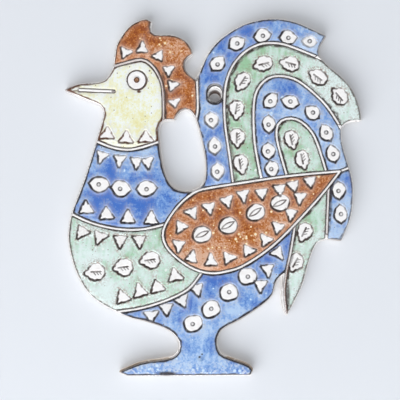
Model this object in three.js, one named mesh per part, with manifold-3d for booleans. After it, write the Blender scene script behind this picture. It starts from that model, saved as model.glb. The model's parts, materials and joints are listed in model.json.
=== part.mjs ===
// Rooster wall plaque in glazed stoneware: thin clay panels laid side by side on a backing slab,
// with white clay strips in the channels between them and a slanted nail hole through the tail.
// The back lies on the wall plane y = 0, the front faces -y, z is up. Millimetres.

import * as THREE from 'three';
import { mergeVertices } from 'three/addons/utils/BufferGeometryUtils.js';
import Module from 'manifold-3d';

const wasm = await Module();
wasm.setup();

// Driving dimensions
const FACE_HEIGHT = 298; // glazed face, from the sole of the foot to the top of the tail
const SLAB_THICKNESS = 8;
const RIM_WIDTH = 1.2; // bare slab that shows round the glazed face
const EDGE_CHAMFER = 0.6; // sponged edge of the slab
const WIDEST_CHAMFER = 0.9; // largest share of the rim that the chamfer takes
const PANEL_THICKNESS = 3;
const STRIP_WIDTH = 2;
const STRIP_PROUD = 0.4; // how far a strip stands above the panels
const JOINT_GAP = 0.35; // clearance round everything that is set into the panels
const EYE_RADIUS = 7.7;
const EYE_PROUD = 0.5;
const PUPIL_RADIUS = 2.4;
const PUPIL_THICKNESS = 0.8;
const NAIL_WALL = 0.65; // least clay left between the nail hole and the channel beside it
const NAIL_FUNNEL = 1.3; // how much larger the hole's radius is at its front than at its back
const NAIL_TILT = THREE.MathUtils.degToRad(25); // the back end lies lower

// Fineness of the curves
const CURVE_STEP = 4.5;
const CAP_STEPS = 6;
const ROUND_STEPS = 32;

// The drawing is on a grid of its own, x to the right and y up, and is scaled to FACE_HEIGHT.
const DRAWING_HEIGHT = 298;
const SCALE = FACE_HEIGHT / DRAWING_HEIGHT;

// Outline of the glazed face, in smooth runs that meet at corners. Each run starts where the
// one before it ends, and the first starts at the end of the last.
const FACE_EDGE = [
  [[-113, 94.5], [-98, 95.5], [-89, 99], [-83, 109.5]], // top of the beak, forehead
  [[-82, 119], [-79.5, 130], [-70, 143], [-60.5, 148.2], [-55.5, 149], [-52.5, 147]], // front of the comb
  [[-53.5, 140.5], [-50.5, 136.5], [-44.5, 135.5], [-34.5, 135.5], [-25.5, 132], [-20, 126.5], [-18, 120.5]],
  [[-24, 115.5], [-25, 109], [-21.5, 103], [-14, 97.5]], // nape
  [[-10, 107.5], [-3.5, 121], [6.5, 132.5], [25, 144], [46, 149], [68, 146.5], [93.5, 135]], // tail crest
  [[89.5, 128.5], [87.5, 123.5], [88, 118]],
  [[96, 109.5], [107, 100.5], [116, 89.5], [121.5, 76], [123.5, 65]], // second feather
  [[115, 64.5], [109.5, 62], [106.5, 58.5]],
  [[107.5, 44], [115, 18], [116.5, 2], [114, -18], [106.5, -35.5]], // right side
  [[97, -34.5], [90, -35.5], [85, -39.5], [79.5, -53], [73.5, -74], [61.5, -98]], // lowest feather
  [[58.6, -91], [58.2, -80], [58.7, -70], [59.8, -62.5]],
  [
    [52, -70], [49, -81], [41.5, -89], [22.5, -101.5], [11, -107.5], [5, -112.5], [2.3, -122], // belly, leg
    [5.5, -131.5], [14, -135.5], [28, -140.5], [32.5, -144.5], [31, -148.5], // top of the foot
  ],
  [[-71.5, -149]], // sole
  [[-78, -146.3]],
  [
    [-60, -139], [-46, -137], [-35, -135], [-29.5, -131], [-27.5, -124.5], [-29, -119], // foot, leg
    [-34, -113], [-44, -107.5], [-57.5, -103], [-69, -100.5], [-82.5, -94.5], [-95, -87.5], // belly
    [-106, -77.5], [-114.5, -62], [-119.5, -45], [-121, -31], [-118, -13], [-111, 5.5], // breast
    [-105, 22.5], [-96, 52], [-91, 70], [-92.5, 75.5], [-96, 79], [-103, 81.5], [-123.5, 90], // throat
  ],
];

// Opening between the neck and the tail, from the lowest tip of the comb round to it again.
const LOOP_FOOT = [-15, 5.8];
const LOOP_EDGE = [
  [
    [-30.5, 70.5], [-26.5, 74], [-21.5, 74.5], [-17, 71], [-13.5, 64], [-9, 48], [-6, 30], [-6.5, 15],
    [-10, 8.6], LOOP_FOOT, [-21, 4.3], [-32, 6.5], [-39.5, 15.5], [-44, 31], [-46, 48], [-46.5, 58.5],
    [-44, 63.5], [-40, 65.5], [-33, 65.5],
  ],
];

// The wing's ring touches the loop at its foot.
const WING_SHOULDER = [LOOP_FOOT[0], LOOP_FOOT[1] - STRIP_WIDTH / 2 / SCALE];
const WING_EDGE = [
  [106, 22], [62.5, 18], [21.5, 12], [-3, 8], WING_SHOULDER, [-27, -4.5], [-36.5, -16.5], [-42.3, -29.5],
  [-39, -41.5], [-28, -52.5], [-15, -60.3], [-2, -63.3], [11, -61.8], [27, -56], [53.5, -37], [86, -3],
  [106, 22],
];

// Middle lines of the other strips. Those that end on the wing stop at its ring, and those that
// end at the edge of the face run past it.
const STRIP_LINES = {
  comb_strip: [[-86, 109], [-72, 113], [-60, 115.3], [-51.5, 110.5], [-45, 100.5], [-42, 88.5], [-41.5, 62]],
  mouth_strip: [[-112, 90], [-83.5, 88.8]],
  neck_strip: [[-101, 48.5], [-85.5, 42.2], [-72, 40], [-60, 42], [-43, 47.5]],
  breast_strip: [
    [-123, -11.5], [-107, -19.3], [-94, -23.6], [-80.5, -26.2], [-66, -27], [-54, -25.7], [-41, -22.5],
  ],
  belly_strip: [[-84, -96], [-63, -93], [-47, -88.7], [-33, -83.3], [-20, -75.8], [-10, -63]],
  comb_tail_strip: [[-13.8, 101], [-13.2, 85], [-13.2, 72], [-15.5, 63]],
  outer_tail_strip: [
    [16.5, 11.8], [13.5, 35.5], [10, 60], [9.2, 79], [11, 97], [17, 111.5], [27, 122.3], [38, 128],
    [48, 129.3], [62, 127.3], [92, 115.5],
  ],
  second_tail_strip: [
    [40.5, 15.2], [37, 31], [34.2, 50], [33.7, 74], [35.6, 87.5], [42, 97], [50.5, 101.4], [62, 101],
    [72, 97], [84, 87.5], [96, 75], [109.5, 54],
  ],
  third_tail_strip: [
    [61.5, 18.3], [56.5, 35.5], [53, 50], [53.5, 59.5], [57.2, 64.4], [65, 66.3], [73.5, 63.4], [82.3, 54.8],
    [88, 42.3], [94.5, 21.4],
  ],
  wing_tip_strip: [[106.5, 22.2], [122, 28]],
  right_lower_tail_strip: [[96.5, 9.6], [94.8, -31.3], [94.7, -40]],
  left_lower_tail_strip: [[68.5, -22.2], [65, -44], [62.5, -56], [60.3, -69], [59.6, -82], [62, -103]],
};

const EYE_CENTRE = [-64.2, 98.2];
const NAIL_HOLE_CENTRE = [1.3, 84.2]; // half way through the plaque

// A finished colour for each kind of clay and glaze
const glaze = (color, roughness) => new THREE.MeshStandardMaterial({ color, roughness, metalness: 0 });
const BARE_CLAY = glaze('#e6dccf', 0.85);
const WHITE_SLIP = glaze('#f4f0ea', 0.4);
const BROWN_OXIDE = glaze('#6b4632', 0.5);
const BLUE = glaze('#6c93d8', 0.3);
const GREEN = glaze('#b3d6bf', 0.3);
const RUST = glaze('#a8552a', 0.35);
const CREAM = glaze('#e9eac6', 0.3);

// Each panel's glaze, and a point of the drawing that lies on it
const PANELS = {
  comb_panel: { on: [-60, 128], finish: RUST },
  face_panel: { on: [-75, 75], finish: CREAM },
  neck_panel: { on: [-80, 10], finish: BLUE },
  breast_panel: { on: [-80, -60], finish: GREEN },
  belly_and_foot_panel: { on: [-10, -110], finish: BLUE },
  wing_panel: { on: [20, -25], finish: RUST },
  outer_tail_panel: { on: [0, 60], finish: BLUE },
  second_tail_panel: { on: [23, 60], finish: GREEN },
  third_tail_panel: { on: [44, 60], finish: BLUE },
  inner_tail_panel: { on: [66, 45], finish: GREEN },
  right_lower_tail_panel: { on: [104, -10], finish: BLUE },
  left_lower_tail_panel: { on: [82, -30], finish: GREEN },
};

// Channel that a strip lies in
const CHANNEL_WIDTH = STRIP_WIDTH + 2 * JOINT_GAP;

// Depths from the wall
const PANEL_FRONT = SLAB_THICKNESS + PANEL_THICKNESS;
const STRIP_FRONT = PANEL_FRONT + STRIP_PROUD;
const EYE_FRONT = PANEL_FRONT + EYE_PROUD;

const onDrawing = ([x, y]) => new THREE.Vector2(x, y).multiplyScalar(SCALE);

// Points along the smooth line through the given points of the drawing.
function trace(points) {
  const through = points.map(onDrawing);
  if (through.length === 2) return through;
  const curve = new THREE.SplineCurve(through);
  return curve.getSpacedPoints(Math.ceil(curve.getLength() / CURVE_STEP));
}

// The runs of a closed edge, each traced from the end of the one before it.
function traceEdge(runs) {
  return runs.map((run, index) => trace([runs.at(index - 1).at(-1), ...run]));
}

const joined = (runs) => runs.flatMap((run) => run.slice(1));

// The flat outline of a band of the given width along a line, with round ends.
function bandShape(line, width) {
  const last = line.length - 1;
  const heading = line.map((_, index) => {
    const step = line[Math.min(index + 1, last)].clone().sub(line[Math.max(index - 1, 0)]);
    return step.angle();
  });
  const beside = (index, turn) => {
    const angle = heading[index] + turn;
    return new THREE.Vector2(Math.cos(angle), Math.sin(angle)).multiplyScalar(width / 2).add(line[index]);
  };
  const turns = Array.from({ length: CAP_STEPS - 1 }, (_, step) => (Math.PI * (step + 1)) / CAP_STEPS);
  const cap = (index, from) => turns.map((turn) => beside(index, from - turn));
  const left = line.map((_, index) => beside(index, Math.PI / 2));
  const right = line.map((_, index) => beside(index, -Math.PI / 2)).reverse();
  return new THREE.Shape([...left, ...cap(last, Math.PI / 2), ...right, ...cap(0, -Math.PI / 2)]);
}

// A closed three.js geometry as a solid that can be cut and joined.
function solidFrom(geometry) {
  geometry.deleteAttribute('normal');
  geometry.deleteAttribute('uv');
  const merged = mergeVertices(geometry, 1e-4);
  const mesh = new wasm.Mesh({
    numProp: 3,
    vertProperties: merged.getAttribute('position').array,
    triVerts: new Uint32Array(merged.getIndex().array),
  });
  return new wasm.Manifold(mesh);
}

// A flat shape of the drawing, stood up against the wall and raised between two depths.
function raised(shape, back, front, chamfer = 0) {
  const geometry = new THREE.ExtrudeGeometry(shape, {
    depth: front - back - 2 * chamfer,
    bevelEnabled: chamfer > 0,
    bevelThickness: chamfer,
    bevelSize: chamfer,
    bevelOffset: -chamfer,
    bevelSegments: 1,
  });
  return solidFrom(geometry.translate(0, 0, back + chamfer).rotateX(Math.PI / 2));
}

const raisedBands = (lines, width, back, front, chamfer) =>
  lines
    .map((line) => raised(bandShape(line, width), back, front, chamfer))
    .reduce((whole, band) => whole.add(band));

// A round disc that stands out from the wall.
function disc(centre, radius, back, front) {
  const { x, y } = onDrawing(centre);
  const geometry = new THREE.CylinderGeometry(radius, radius, front - back, ROUND_STEPS);
  return solidFrom(geometry.translate(x, -(back + front) / 2, y));
}

// The slanted, tapering core of the nail hole, longer than the plaque is thick. Its mouth takes the
// room up to the channel of the strip beside it, less a wall.
function nailHoleCore(stripBeside) {
  const centre = onDrawing(NAIL_HOLE_CENTRE);
  const toStrip = Math.min(...stripBeside.map((point) => point.distanceTo(centre)));
  const mouthRadius = toStrip - CHANNEL_WIDTH / 2 - NAIL_WALL;
  const spare = PANEL_FRONT;
  const flare = (NAIL_FUNNEL / PANEL_FRONT) * spare;
  const geometry = new THREE.CylinderGeometry(
    mouthRadius - NAIL_FUNNEL - flare,
    mouthRadius + flare,
    PANEL_FRONT + 2 * spare,
    ROUND_STEPS,
  );
  return solidFrom(geometry.rotateX(-NAIL_TILT).translate(centre.x, -PANEL_FRONT / 2, centre.y));
}

const faceRuns = traceEdge(FACE_EDGE);
const loopRuns = traceEdge(LOOP_EDGE);
const faceShape = new THREE.Shape(joined(faceRuns));
faceShape.holes.push(new THREE.Path(joined(loopRuns).reverse()));

// The wing's ring is drawn as two halves that meet at its tip and at its round end.
const wingLine = trace(WING_EDGE);
const wingMiddle = Math.floor(wingLine.length / 2);
const wingHalves = [wingLine.slice(0, wingMiddle + 1), wingLine.slice(wingMiddle)];

const stripRuns = { wing_ring: wingHalves };
for (const [name, points] of Object.entries(STRIP_LINES)) stripRuns[name] = [trace(points)];

const nailHole = nailHoleCore(stripRuns.outer_tail_strip[0]);
const plaque = new THREE.Group();
plaque.name = 'rooster_plaque';

function addPiece(name, solid, finish) {
  const { vertProperties, triVerts } = solid.getMesh();
  const geometry = new THREE.BufferGeometry();
  geometry.setAttribute('position', new THREE.BufferAttribute(vertProperties, 3));
  geometry.setIndex(new THREE.BufferAttribute(triVerts, 1));
  geometry.computeVertexNormals();
  const piece = new THREE.Mesh(geometry, finish);
  piece.name = name;
  plaque.add(piece);
}

// Backing slab: the face's outline with a rim swept along every edge of it. The rim's own width
// limits the chamfer.
const chamfer = Math.min(EDGE_CHAMFER, RIM_WIDTH * WIDEST_CHAMFER);
const rim = raisedBands([...faceRuns, ...loopRuns], 2 * RIM_WIDTH, 0, SLAB_THICKNESS, chamfer);
const slab = raised(faceShape, 0, SLAB_THICKNESS).add(rim).asOriginal().simplify().subtract(nailHole);
addPiece('backing_slab', slab, BARE_CLAY);

// Panels: one sheet, cut through along every strip and round the eye, and taken apart.
const channelOf = (name) => raisedBands(stripRuns[name], CHANNEL_WIDTH, 0, 2 * PANEL_FRONT);
const channels = Object.keys(stripRuns).map(channelOf);
const eyeSocket = disc(EYE_CENTRE, EYE_RADIUS + JOINT_GAP, 0, 2 * PANEL_FRONT);
const sheet = [...channels, eyeSocket, nailHole].reduce(
  (left, cut) => left.subtract(cut),
  raised(faceShape, SLAB_THICKNESS, PANEL_FRONT),
);
const pieces = sheet.decompose();
for (const [name, { on, finish }] of Object.entries(PANELS)) {
  const probe = disc(on, STRIP_WIDTH / 2, SLAB_THICKNESS, PANEL_FRONT);
  const panel = pieces.find((piece) => !piece.intersect(probe).isEmpty());
  addPiece(name, panel, finish);
}

// Strips: bands along the same lines, trimmed to the face and to the wing's ring.
const stripBounds = raised(faceShape, SLAB_THICKNESS, STRIP_FRONT).subtract(nailHole);
const ringChannel = channelOf('wing_ring');
for (const [name, lines] of Object.entries(stripRuns)) {
  const band = raisedBands(lines, STRIP_WIDTH, SLAB_THICKNESS, STRIP_FRONT).intersect(stripBounds);
  addPiece(name, name === 'wing_ring' ? band : band.subtract(ringChannel), WHITE_SLIP);
}

// Eye
addPiece('eye_disc', disc(EYE_CENTRE, EYE_RADIUS, SLAB_THICKNESS, EYE_FRONT), WHITE_SLIP);
addPiece('eye_pupil', disc(EYE_CENTRE, PUPIL_RADIUS, EYE_FRONT, EYE_FRONT + PUPIL_THICKNESS), BROWN_OXIDE);

export default plaque;
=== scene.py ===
import json
import math
from functools import partial
from itertools import cycle
from typing import NamedTuple

import bpy
import numpy as np
from bpy.props import FloatProperty, FloatVectorProperty, IntProperty, PointerProperty
from bpy.types import NodeSocket, Operator, Panel, PropertyGroup
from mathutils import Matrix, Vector
from mathutils.kdtree import KDTree


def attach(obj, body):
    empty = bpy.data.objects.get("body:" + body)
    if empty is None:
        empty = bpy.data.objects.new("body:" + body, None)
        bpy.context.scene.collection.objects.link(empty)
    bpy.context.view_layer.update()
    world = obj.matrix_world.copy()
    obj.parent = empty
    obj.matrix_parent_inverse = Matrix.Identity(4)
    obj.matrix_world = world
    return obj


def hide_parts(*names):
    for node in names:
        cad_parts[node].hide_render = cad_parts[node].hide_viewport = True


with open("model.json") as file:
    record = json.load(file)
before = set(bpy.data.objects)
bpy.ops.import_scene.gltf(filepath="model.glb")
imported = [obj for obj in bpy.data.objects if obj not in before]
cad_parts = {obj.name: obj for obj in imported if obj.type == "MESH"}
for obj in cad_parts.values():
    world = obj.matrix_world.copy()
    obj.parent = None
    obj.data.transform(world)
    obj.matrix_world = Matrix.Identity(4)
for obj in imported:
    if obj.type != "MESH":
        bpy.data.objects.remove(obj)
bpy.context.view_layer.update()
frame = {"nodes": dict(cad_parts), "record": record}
SLOT_OF = {part["node"]: part["material_slot"] for part in frame["record"]["subparts"]}

bl_info = {
    "name": "Rooster wall plaque",
    "version": (1, 0, 0),
    "blender": (4, 5, 0),
    "location": "View3D > Sidebar > Rooster",
    "description": "Glazed stoneware rooster plaque, modelled over its packed solids",
    "category": "Object",
}

MM = 0.001


# Ornament. Places are x and z in mm, and reaches, radii and half widths are in mm too.
class StampRow(NamedTuple):
    """Stamps pressed in a row. A turn leads from the row's own direction to the stamp's long axis."""

    stamp: str
    length: float
    breadth: float
    turns: tuple  # degrees
    places: tuple
    slip: float = 1.0  # how white the stamps were filled
    ink: float = 1.0  # how much oxide was left round them


class PanelLook(NamedTuple):
    """What was pressed, brushed and wiped on one panel, what the fire left there, and the shade and the
    highlight painted on it.
    """

    stamps: tuple
    # One pale patch on the belly is a painted highlight
    patches: tuple = ()  # brushed paler (above 0) or deeper (below 0): place, reach and how much
    # Some smudges are painted shade: the two on the comb are the shadow beside its strip
    smudges_and_shade: tuple = ()  # smears of oxide: place, half width, half height and how dark
    iron: tuple = ()  # where iron specks lie close: place, reach and the share of spots that hold one
    bubbles: tuple = ()  # where small burst bubbles lie close, in the same way
    bursts: tuple = ()  # the larger burst bubbles: place and radius
    heading: float = 82.0  # of the brush, degrees from x
    inner_line: float = 0.7  # width of its oxide lines along the white strips, beside the usual
    outer_line: float = 1.0  # and on the rooster's outline


PANEL_LOOKS = {
    "comb_panel": PanelLook(
        stamps=(
            StampRow("triangle", 9.0, 9.5, (-5, 95, 220, -30, 80), ink=0.9, places=(
                (-73.5, 121.5), (-59.5, 125), (-46, 118.5), (-37.5, 106.5), (-34, 94),
            )),
            StampRow("triangle", 7.0, 10.0, (-80,), ((-32.5, 79.5),), ink=0.7),
        ),
        patches=((-60, 136, 14, -0.16), (-40, 122, 14, 0.08), (-32, 96, 12, -0.15)),
        # Painted shade: these two smears are the comb strip's shadow on the panel
        smudges_and_shade=((-39.9, 84, 2.2, 9, 0.75), (-42.4, 97, 2.2, 9, 0.7)),
        bubbles=((-40, 124, 7, 0.2),),
        bursts=(
            (-40.5, 129.2, 1.6), (-44.7, 133.4, 1.1), (-45.2, 128.1, 1.2), (-36.3, 121.7, 1.2),
            (-61.4, 133.1, 0.9), (-27.1, 122.5, 0.9),
        ),
    ),
    "face_panel": PanelLook(
        stamps=(StampRow("triangle", 9.5, 12.0, (100, 92, 92), ((-89, 53), (-73, 49.5), (-56.5, 50))),),
        patches=((-72, 70, 18, -0.05), (-61.5, 64, 7, -0.2), (-78, 82, 9, -0.12), (-70, 98, 22, 0.08)),
        smudges_and_shade=(
            (-62.3, 88.6, 2.0, 1.3, 1.0), (-53.4, 106.0, 0.8, 0.8, 1.0), (-121.0, 90.4, 2.8, 1.1, 0.95),
            (-115.5, 92.7, 5.0, 0.8, 0.85), (-115.5, 89.2, 4.2, 0.7, 0.85),
        ),
        outer_line=1.35,
    ),
    "neck_panel": PanelLook(
        stamps=(
            StampRow("triangle", 9.6, 10.0, (-95, -85, -90, -85), ink=0.85, places=(
                (-93.5, 34.5), (-78.5, 31.5), (-64.5, 29.5), (-55, 29.5),
            )),
            StampRow("seed", 17.0, 13.5, (0,), ((-95.5, 11), (-77.5, 7.5), (-56, 7.5))),
            StampRow("triangle", 11.0, 12.0, (110, 105, 92, 88), places=(
                (-106.5, -9), (-89.5, -14), (-71.5, -17), (-52, -18),
            )),
        ),
        patches=(
            (-84, 20, 13, -0.2), (-58, 17, 11, -0.1), (-90, -3, 16, -0.26), (-58, -7, 14, -0.2),
            (-70, 40, 26, 0.16),
        ),
        iron=((-31, 0.5, 6, 0.5),),
        heading=-6,
        outer_line=1.2,
    ),
    "breast_panel": PanelLook(
        stamps=(
            StampRow("triangle", 10.5, 11.5, (-110, -100, -88, -88), slip=0.8, places=(
                (-110, -29), (-95, -33), (-78, -36), (-62, -36),
            )),
            StampRow("leaf", 16.8, 14.0, (0,), ((-99, -62.5), (-75.5, -58.5), (-53, -52.5))),
            StampRow("triangle", 11.0, 12.0, (92, 88, 82, 72), places=(
                (-76, -83.5), (-61.5, -78.5), (-47, -75), (-32, -65.5),
            )),
        ),
        patches=(
            (-75, -60, 60, 0.07), (-108, -70, 24, 0.14), (-76, -52, 16, -0.12), (-86, -30, 30, 0.1),
            (-40, -42, 16, -0.12), (-90, -88, 18, 0.12),
        ),
        iron=((-96, -47, 20, 0.12),),
    ),
    "belly_and_foot_panel": PanelLook(
        stamps=(
            StampRow("triangle", 9.8, 12.0, (-107,), slip=0.85, ink=0.9, places=(
                (-52, -98.8), (-39.4, -92.8), (-26.2, -86.2), (-13.8, -76.8),
            )),
            StampRow("button", 15.0, 13.0, (-25,), ((-17, -105.5), (-2, -93.5), (13, -79.5), (28.5, -66))),
            StampRow("triangle", 10.5, 10.5, (-155, -150, -110), places=(
                (39.5, -73.5), (45.5, -60.5), (54, -46.5),
            )),
        ),
        patches=(
            # The small pale patch at 53, -70 is a painted highlight on the belly's curled end
            (5, -72, 15, -0.2), (48, -44, 16, -0.18), (53, -70, 5, 0.3), (-28, -97, 11, -0.12),
            (-12, -126, 22, 0.1), (14, -97, 17, 0.16), (-30, -143, 26, 0.05), (20, -143, 22, 0.03),
        ),
        smudges_and_shade=(
            (-39.2, -147.9, 10.5, 2.6, 1.0), (-11.5, -133.5, 1.2, 1.0, 1.0), (-9.5, -131.2, 0.9, 0.8, 1.0),
            (-10.5, -134.8, 3.4, 2.8, 0.22),
        ),
        iron=((52, -66, 12, 0.4),),
        bubbles=((-58, -145, 20, 0.8), (-8, -149, 12, 0.5), (32, -145, 18, 0.8), (38, -88, 14, 0.2)),
        outer_line=1.6,
    ),
    "wing_panel": PanelLook(
        stamps=(
            StampRow("bean", 15.5, 13.5, (8,), ((-9.5, -31), (12.5, -23.5), (35.5, -12.5), (56, -4.5))),
            StampRow("triangle", 10.0, 10.4, (162, -95, -95, -95, -95, -95, -90, -100), ink=0.85, places=(
                (-18, -12.5), (-3.5, -8.5), (11.5, -3), (25, 2), (40.5, 3.5), (55.5, 7), (67, 10),
                (81, 13.5),
            )),
            StampRow(
                "triangle", 10.0, 10.4, (95, -20, 105, 92, -10, -25, -28, -150, -150, -160), ink=0.88,
                places=(
                    (-27, -24.5), (-29, -40), (-18, -50), (-2, -53), (13, -50.5), (29.5, -44.5),
                    (44, -35.5), (54, -25), (65, -13.7), (72.5, 0),
                ),
            ),
        ),
        patches=((16, -14, 34, -0.12), (-8, -54, 18, 0.28), (42, -34, 18, 0.12), (84, 8, 18, -0.15)),
        bubbles=((24, -36, 12, 0.25),),
        bursts=(
            (21.4, -30.6, 1.5), (27.6, -32.6, 1.2), (24.8, -34.6, 1.0), (19.7, -36.8, 1.0),
            (34, -35.6, 0.9), (-0.8, -41.8, 1.3), (9.7, -41.8, 1.0), (-17.1, -2.1, 0.9),
            (5.5, -9.7, 1.0), (22.3, -12.7, 1.1), (-36, -31.8, 1.0),
        ),
        heading=18,
    ),
    "outer_tail_panel": PanelLook(
        stamps=(
            StampRow("seed", 13.5, 11.5, (0,), ((3.5, 22), (1, 43), (-1.5, 65)), ink=0.65),
            StampRow("button", 16.0, 13.8, (90,), ((1.4, 86.7),)),
            StampRow("seed", 14.5, 12.0, (0,), ((3.5, 112), (19.5, 129), (41, 135.5), (62.5, 134))),
            StampRow("seed", 11.5, 9.5, (-14,), ((80.5, 130.5),), 0.9, 0.35),
        ),
        patches=(
            (86, 125, 15, 0.26), (22, 138, 18, -0.08), (-3, 33, 8, -0.1), (3, 54, 7, -0.06),
            (-3, 76, 8, 0.1), (1, 99, 8, -0.1), (40, 90, 110, -0.03),
        ),
        iron=((-7.5, 8.5, 5, 0.5),),
        heading=62,
    ),
    "second_tail_panel": PanelLook(
        stamps=(
            StampRow("leaf", 16.0, 12.5, (0,), places=(
                (23, 28), (20, 50), (19.5, 73.5), (24, 97), (41.5, 112), (64, 112), (87.5, 101),
                (105.5, 85),
            )),
        ),
        patches=((102, 88, 34, 0.3), (22, 105, 18, -0.12), (22, 60, 20, -0.06)),
        smudges_and_shade=((20.0, 80.8, 3.0, 0.8, 1.0),),
        inner_line=1.3,
    ),
    "third_tail_panel": PanelLook(
        stamps=(
            StampRow("seed", 14.5, 11.5, (0,), places=(
                (49, 24), (46, 39), (46.5, 61.5), (48, 81), (64.5, 80), (83, 71), (94.5, 54), (100, 36.5),
            )),
        ),
        patches=((62, 92, 18, -0.12), (46, 50, 11, -0.12), (108, 40, 14, 0.14), (75, 55, 80, 0.09)),
        heading=70,
    ),
    "inner_tail_panel": PanelLook(
        stamps=(StampRow("leaf", 16.0, 11.5, (-12,), ((74.5, 31.5), (65.5, 48.5))),),
        inner_line=0.9,
    ),
    "right_lower_tail_panel": PanelLook(
        stamps=(StampRow("seed", 15.0, 11.5, (0,), ((106.5, -14), (105, 6))),),
        patches=((112, 14, 9, -0.16), (104, -18, 24, 0.2)),
        inner_line=1.2,
    ),
    "left_lower_tail_panel": PanelLook(
        stamps=(StampRow("leaf", 15.5, 12.8, (-8,), ((68.8, -54.4), (76.4, -29))),),
        patches=((80, -12, 16, -0.12), (68, -74, 18, 0.2), (84, -38, 16, 0.12)),
        smudges_and_shade=((62.4, -82, 1.8, 14, 0.85),),
        inner_line=1.0,
    ),
}


class StripLook(NamedTuple):
    """What was wiped on one strip, and on the comb strip the shade painted down its right side."""

    crease: float = 0.6  # reach of the oxide in its edges
    wash: float = 0.0  # how brown the wiped oxide leaves it
    # On the comb strip the run is painted shade on its shadow side; on the left lower tail strip it is oxide
    run: tuple = ()  # oxide that ran down its right side: height of its top, reach and how dark
    end: tuple = ()  # end drawn round, short of the outline: place, and where it faces in degrees from x


STRIP_LOOKS = {
    # Painted shade: the comb strip's run darkens its right side
    "comb_strip": StripLook(wash=0.28, run=(112, 12, 0.7)),
    "mouth_strip": StripLook(crease=0.22),
    "outer_tail_strip": StripLook(end=(85.0, 118.7, -25)),
    "second_tail_strip": StripLook(end=(105.0, 62.0, -60)),
    "right_lower_tail_strip": StripLook(crease=0.75, wash=0.2, end=(95.5, -30.0, -90)),
    "left_lower_tail_strip": StripLook(crease=0.8, wash=0.1, run=(-50, 8, 0.8)),
}

# Where the panels' edge lines fade: place, reach and how much
FADED_LINES = (
    (-88, 90, 17, 0.7),  # at the mouth's corner
    (87.6, 117.5, 3.2, 0.9),  # at the round ends of three strips
    (106.3, 59.8, 2.4, 0.9),
    (95.5, -33.2, 3.2, 0.9),
    (51, -75, 9, 0.7),  # on the belly's edge beside the lower tail
)

# Where the slab's rim is darkened: place and reach. Some are oxide, as at the beak's tip and the sole,
# and the others are painted shade where the rim stays in shadow, as round the loop and on top of the foot
DARK_RIMS = (
    (-26, 40, 36), (108, 80, 16), (104, -36, 13), (96, 128, 12), (20, -92, 34), (-52, -104, 18),
    (-39, -149, 7), (-121, 90, 5), (-24, 112, 12), (-27, 74, 12), (-70, -139, 16), (56, -72, 5),
)

# Heights on leg and foot in mm, from where something starts to where it is full
FROST = (-130.0, -144.0)  # glaze that broke up into pale freckles
# Painted shade: the instep's mark is oxide and painted shade on the edges that look up, which stay in shadow
INSTEP_OXIDE_AND_SHADE = (-96.0, -116.0)  # oxide on the edge that looks up
THIN_ANKLE = (-118.0, -132.0)  # finer edge lines
# Painted shade on the slab's rim of the foot, from above the sole to below the ankle
FOOT_SOLE = (-148.0, -146.0)  # bare rim above the sole
FOOT_TOP = (-128.0, -136.0)  # and below the ankle


def linear(code):
    """Linear RGBA of an sRGB hex colour."""
    channels = [int(code[i:i + 2], 16) / 255 for i in (0, 2, 4)]
    return (*(c / 12.92 if c <= 0.04045 else ((c + 0.055) / 1.055) ** 2.4 for c in channels), 1.0)


def colour(name, code, description):
    return FloatVectorProperty(
        name=name, description=description, subtype="COLOR", size=4, min=0, max=1, default=linear(code),
    )


def length(name, millimetres, description):
    return FloatProperty(
        name=name, description=description, unit="LENGTH", min=0, precision=5, default=millimetres * MM,
    )


class PlaqueSizes(PropertyGroup):
    panel_grain: length("Panel grain", 0.42, "Mesh spacing of the glazed panels")
    strip_grain: length("Strip grain", 0.34, "Mesh spacing of the white strips")
    eye_grain: length("Eye grain", 0.24, "Mesh spacing of the eye")
    slab_grain: length("Slab grain", 0.75, "Mesh spacing of the backing slab before it is thinned")
    stamp_depth: length("Stamp depth", 0.85, "How deep the stamps were pressed into the panels")
    edge_fall: length("Edge fall", 0.45, "How far the panels' faces fall away to their edges")
    oxide_line: length("Oxide line", 0.74, "Half width of the brown line round stamps and panels")
    halo: length("Halo", 1.6, "How far the glaze is thinned round stamps and edges")
    camera_distance: length("Camera distance", 1100, "From the glazed face to the camera")
    view_width: length("View width", 334.7, "Width of the picture at the glazed face")
    edge_rounding: IntProperty(
        name="Edge rounding", description="Smoothing steps that round the panels' edges", min=0, default=6,
    )
    slab_share: FloatProperty(
        name="Slab share", description="Share of the slab's triangles that is kept",
        subtype="FACTOR", min=0, max=1, default=0.42,
    )


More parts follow.
